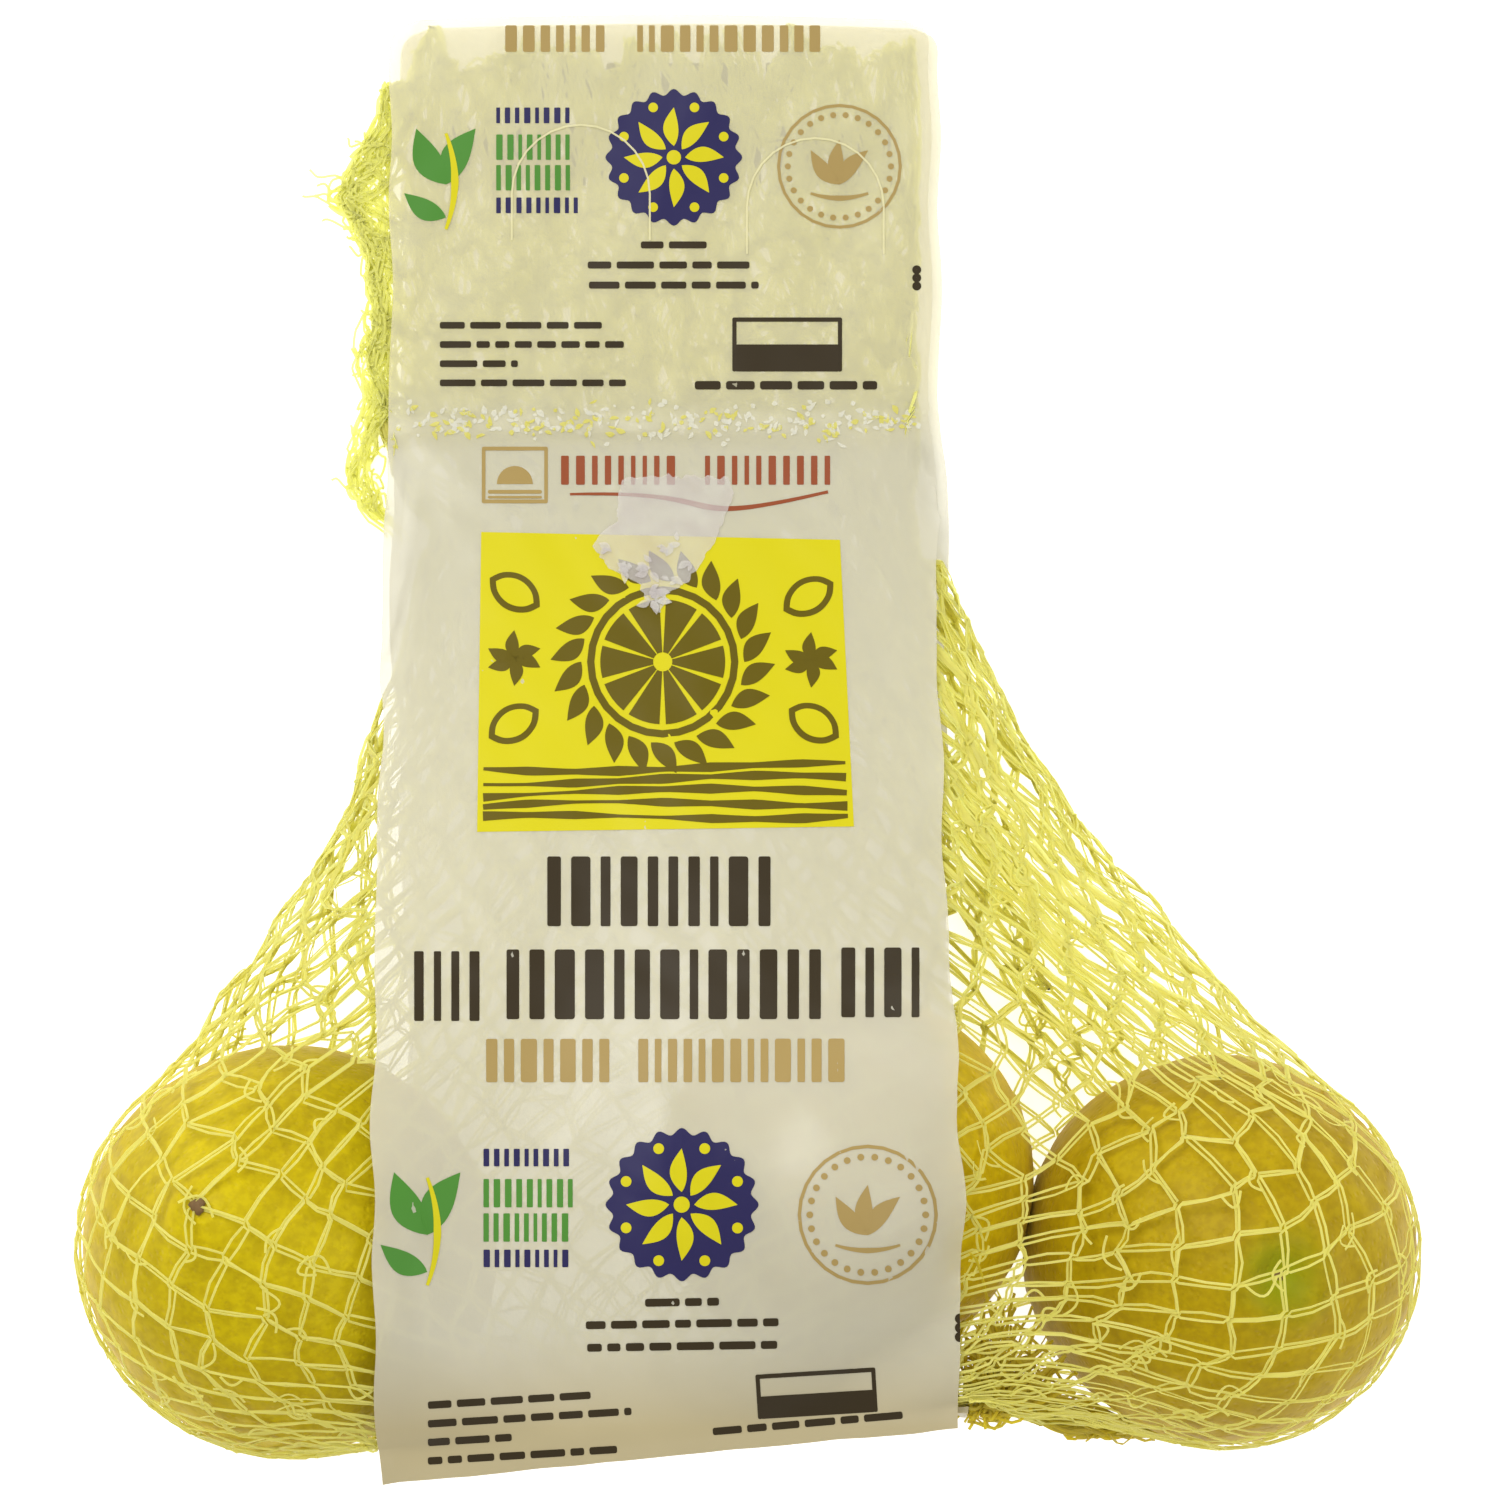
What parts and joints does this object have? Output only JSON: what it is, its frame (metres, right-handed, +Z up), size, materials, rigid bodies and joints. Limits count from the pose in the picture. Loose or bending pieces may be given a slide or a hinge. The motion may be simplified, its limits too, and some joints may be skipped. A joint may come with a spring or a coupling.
{
  "type": "net of lemons",
  "caption": "Knitted yellow net bag of whole lemons with a printed milky film label along its front and back, lying on its back.",
  "frame": {"origin": "on the surface the pack lies on, under the middle of its bounding box", "axes": "+Y towards the film header, +X to the shown side's right, +Z up out of the shown side"},
  "size_m": [0.2223, 0.2474, 0.0819],
  "materials": {
    "net": "satin",
    "peel": "satin",
    "film": "satin",
    "remnant": "matte"
  },
  "bodies": {
    "root": {"net_bag": "net", "front_label": "film", "back_label": "film", "sticker_remnant": "remnant"}
  },
  "joints": []
}
